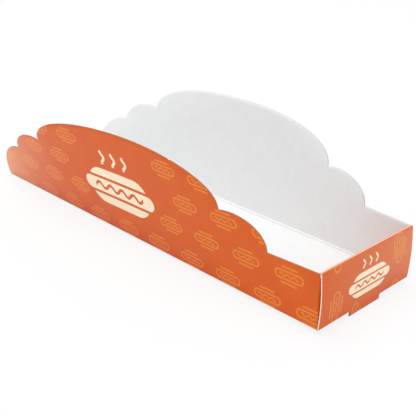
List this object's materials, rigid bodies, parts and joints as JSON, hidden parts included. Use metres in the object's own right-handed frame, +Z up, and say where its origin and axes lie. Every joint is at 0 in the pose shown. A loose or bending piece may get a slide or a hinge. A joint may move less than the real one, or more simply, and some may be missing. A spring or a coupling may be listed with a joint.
{
  "type": "hot dog box",
  "caption": "Folded paperboard hot dog tray with cloud-shaped long walls, a rolled end wall at one end and an open far end.",
  "frame": {"origin": "centre of the floor's underside", "axes": "+X along the tray towards its closed end, +Y towards the back wall, +Z up out of the tray"},
  "size_m": [0.2227, 0.0851, 0.0554],
  "materials": {
    "printed_board": "orange print on the outside, uncoated white inside"
  },
  "bodies": {
    "root": {"folded_tray": "printed_board"}
  },
  "joints": []
}
